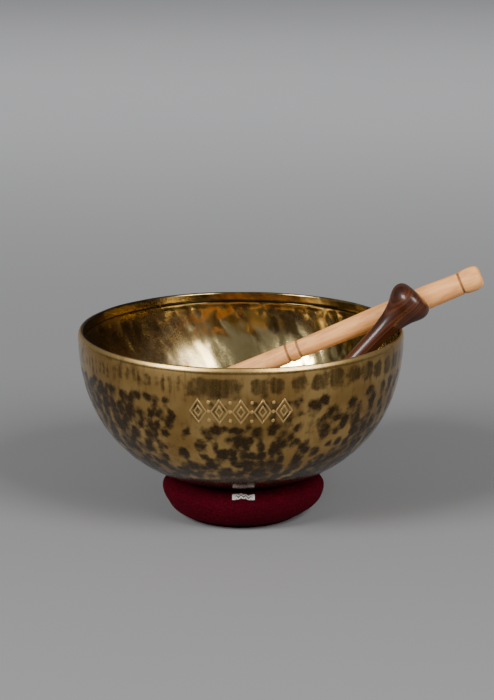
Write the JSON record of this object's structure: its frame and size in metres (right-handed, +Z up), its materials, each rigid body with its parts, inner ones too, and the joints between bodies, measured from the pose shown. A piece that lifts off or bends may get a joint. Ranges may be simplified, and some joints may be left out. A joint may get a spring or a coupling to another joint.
{
  "type": "singing bowl",
  "caption": "Hammered brass singing bowl resting on a round felt cushion, with a straight wooden mallet and a flared wooden mallet leaning in it and drawn out by hand.",
  "frame": {"origin": "on the bowl's axis, at the middle of the cushion's flat underside", "axes": "+Z up along the bowl's axis; both mallets lean out of the bowl towards +X; -Y is the front, where the cushion's label is"},
  "size_m": [0.375, 0.3, 0.2298],
  "materials": {
    "bowl_brass": "hand-hammered bell brass, polished over a mottled brown patina",
    "pale_wood": "turned pale hardwood, fine sanded, unvarnished",
    "dark_wood": "turned dark hardwood, polished to a gloss",
    "maroon_felt": "dense matte wool felt with a short fuzz",
    "maroon_thread": "twisted sewing thread",
    "wadding": "loose cotton wadding",
    "woven_label": "plain woven ribbon with sewn ends"
  },
  "bodies": {
    "cushion": {"cushion_cover": "maroon_felt", "cushion_base_panel": "maroon_felt", "cushion_seam_thread": "maroon_thread", "cushion_filling": "wadding", "cushion_label": "woven_label"},
    "bowl": {"singing_bowl": "bowl_brass"},
    "straight_mallet": {"straight_mallet": "pale_wood"},
    "flared_mallet": {"flared_mallet": "dark_wood"}
  },
  "joints": [
    {"name": "bowl_lift", "type": "slide", "parent": "cushion", "child": "bowl", "axis": [0, 0, 1], "range_m": [0, 0.12]},
    {"name": "straight_mallet_draw", "type": "slide", "parent": "bowl", "child": "straight_mallet", "axis": [0.9174, -0.0417, 0.3957], "range_m": [0, 0.29]},
    {"name": "flared_mallet_draw", "type": "slide", "parent": "bowl", "child": "flared_mallet", "axis": [0.677, 0.0712, 0.7325], "range_m": [0, 0.22]}
  ]
}
